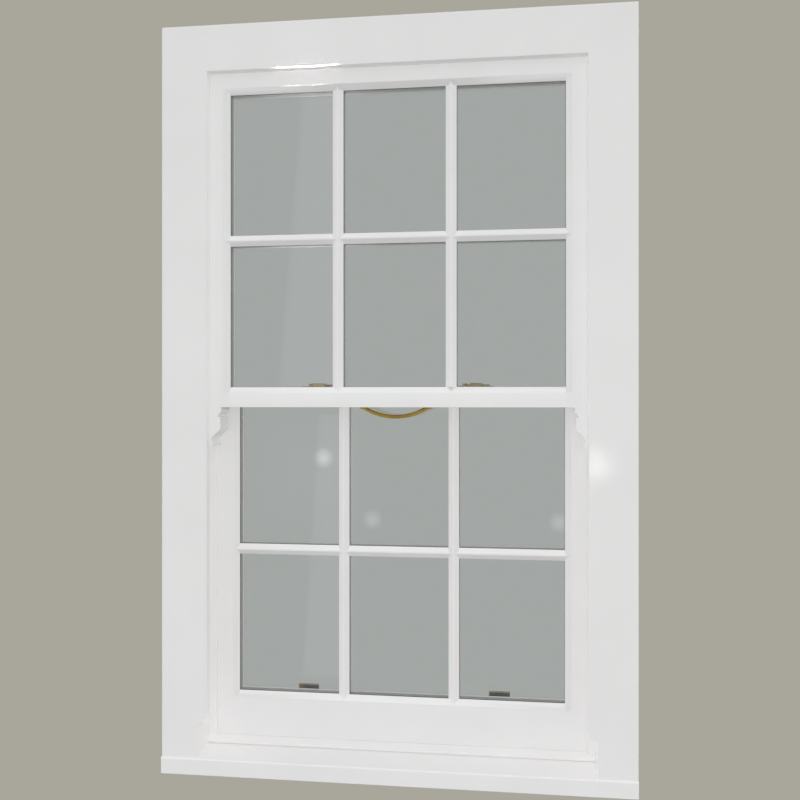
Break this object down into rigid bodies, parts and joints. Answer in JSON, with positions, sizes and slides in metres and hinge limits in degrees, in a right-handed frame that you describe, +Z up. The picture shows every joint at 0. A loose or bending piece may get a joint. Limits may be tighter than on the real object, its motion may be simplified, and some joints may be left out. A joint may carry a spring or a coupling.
{
  "type": "sash window",
  "caption": "Painted timber box sash window with two sliding double-glazed sashes, glazing bars, horns, weights, cords and brass fittings.",
  "frame": {"origin": "middle of the underside of the sill, halfway across its depth", "axes": "+Z up, +X to the right as seen from outside, +Y into the building"},
  "size_m": [1, 0.1754, 1.6],
  "materials": {
    "painted_timber": "satin",
    "bare_timber": "matte",
    "glass": "gloss",
    "spacer": "satin",
    "brass": "polished",
    "cast_iron": "matte",
    "cord": "matte"
  },
  "bodies": {
    "frame": {"sill": "painted_timber", "head_board": "painted_timber", "left_pulley_stile": "painted_timber", "right_pulley_stile": "painted_timber", "left_pocket_piece": "painted_timber", "right_pocket_piece": "painted_timber", "left_outer_lining": "painted_timber", "right_outer_lining": "painted_timber", "head_outer_lining": "painted_timber", "left_inner_lining": "painted_timber", "right_inner_lining": "painted_timber", "head_inner_lining": "painted_timber", "left_back_lining": "bare_timber", "right_back_lining": "bare_timber", "left_parting_bead": "painted_timber", "right_parting_bead": "painted_timber", "head_parting_bead": "painted_timber", "left_staff_bead": "painted_timber", "right_staff_bead": "painted_timber", "head_staff_bead": "painted_timber", "sill_staff_bead": "painted_timber", "left_weight_divider": "bare_timber", "right_weight_divider": "bare_timber", "left_pulley_cases": "brass", "right_pulley_cases": "brass", "upper_left_cord": "cord", "upper_right_cord": "cord", "lower_left_cord": "cord", "lower_right_cord": "cord"},
    "upper_sash": {"upper_left_stile": "painted_timber", "upper_right_stile": "painted_timber", "upper_top_rail": "painted_timber", "upper_meeting_rail": "painted_timber", "upper_glazing_bars": "painted_timber", "upper_panes": "glass", "upper_spacers": "spacer", "upper_glazing_beads": "painted_timber", "bow_handle": "brass", "fastener_keeps": "brass"},
    "lower_sash": {"lower_left_stile": "painted_timber", "lower_right_stile": "painted_timber", "lower_meeting_rail": "painted_timber", "lower_bottom_rail": "painted_timber", "lower_glazing_bars": "painted_timber", "lower_panes": "glass", "lower_spacers": "spacer", "lower_glazing_beads": "painted_timber", "sash_lifts": "brass", "fastener_plates": "brass"},
    "upper_left_wheel_body": {"upper_left_wheel": "brass"},
    "upper_right_wheel_body": {"upper_right_wheel": "brass"},
    "lower_left_wheel_body": {"lower_left_wheel": "brass"},
    "lower_right_wheel_body": {"lower_right_wheel": "brass"},
    "upper_left_weight_body": {"upper_left_weight": "cast_iron"},
    "upper_right_weight_body": {"upper_right_weight": "cast_iron"},
    "lower_left_weight_body": {"lower_left_weight": "cast_iron"},
    "lower_right_weight_body": {"lower_right_weight": "cast_iron"},
    "left_fastener_arm_body": {"left_fastener_arm": "brass"},
    "right_fastener_arm_body": {"right_fastener_arm": "brass"}
  },
  "joints": [
    {"name": "upper_sash_slide", "type": "slide", "parent": "frame", "child": "upper_sash", "axis": [0, 0, 1], "range_m": [-0.6, 0], "deforming": ["upper_left_cord", "upper_right_cord"]},
    {"name": "upper_left_weight_slide", "type": "slide", "parent": "frame", "child": "upper_left_weight_body", "axis": [0, 0, 1], "range_m": [0, 0.6]},
    {"name": "upper_left_wheel_turn", "type": "hinge", "parent": "frame", "child": "upper_left_wheel_body", "pos_m": [-0.44, -0.0313, 1.44], "axis": [0, 1, 0], "range_deg": [0, 1274]},
    {"name": "upper_right_weight_slide", "type": "slide", "parent": "frame", "child": "upper_right_weight_body", "axis": [0, 0, 1], "range_m": [0, 0.6]},
    {"name": "upper_right_wheel_turn", "type": "hinge", "parent": "frame", "child": "upper_right_wheel_body", "pos_m": [0.44, -0.0313, 1.44], "axis": [0, 1, 0], "range_deg": [-1274, 0]},
    {"name": "lower_sash_slide", "type": "slide", "parent": "frame", "child": "lower_sash", "axis": [0, 0, 1], "range_m": [0, 0.6], "deforming": ["lower_left_cord", "lower_right_cord"]},
    {"name": "lower_left_weight_slide", "type": "slide", "parent": "frame", "child": "lower_left_weight_body", "axis": [0, 0, 1], "range_m": [-0.6, 0]},
    {"name": "lower_left_wheel_turn", "type": "hinge", "parent": "frame", "child": "lower_left_wheel_body", "pos_m": [-0.44, 0.0353, 1.44], "axis": [0, 1, 0], "range_deg": [-1274, 0]},
    {"name": "lower_right_weight_slide", "type": "slide", "parent": "frame", "child": "lower_right_weight_body", "axis": [0, 0, 1], "range_m": [-0.6, 0]},
    {"name": "lower_right_wheel_turn", "type": "hinge", "parent": "frame", "child": "lower_right_wheel_body", "pos_m": [0.44, 0.0353, 1.44], "axis": [0, 1, 0], "range_deg": [0, 1274]},
    {"name": "left_fastener_turn", "type": "hinge", "parent": "lower_sash", "child": "left_fastener_arm_body", "pos_m": [-0.17, 0.0265, 0.8308], "axis": [0, 0, 1], "range_deg": [-90, 0]},
    {"name": "right_fastener_turn", "type": "hinge", "parent": "lower_sash", "child": "right_fastener_arm_body", "pos_m": [0.17, 0.0265, 0.8308], "axis": [0, 0, 1], "range_deg": [-90, 0]}
  ],
  "couplings": [
    {"joint": "upper_left_weight_slide", "follows": "upper_sash_slide", "ratio": -1},
    {"joint": "upper_left_wheel_turn", "follows": "upper_sash_slide", "rad_per_m": -37.037},
    {"joint": "upper_right_weight_slide", "follows": "upper_sash_slide", "ratio": -1},
    {"joint": "upper_right_wheel_turn", "follows": "upper_sash_slide", "rad_per_m": 37.037},
    {"joint": "lower_left_weight_slide", "follows": "lower_sash_slide", "ratio": -1},
    {"joint": "lower_left_wheel_turn", "follows": "lower_sash_slide", "rad_per_m": -37.037},
    {"joint": "lower_right_weight_slide", "follows": "lower_sash_slide", "ratio": -1},
    {"joint": "lower_right_wheel_turn", "follows": "lower_sash_slide", "rad_per_m": 37.037}
  ]
}
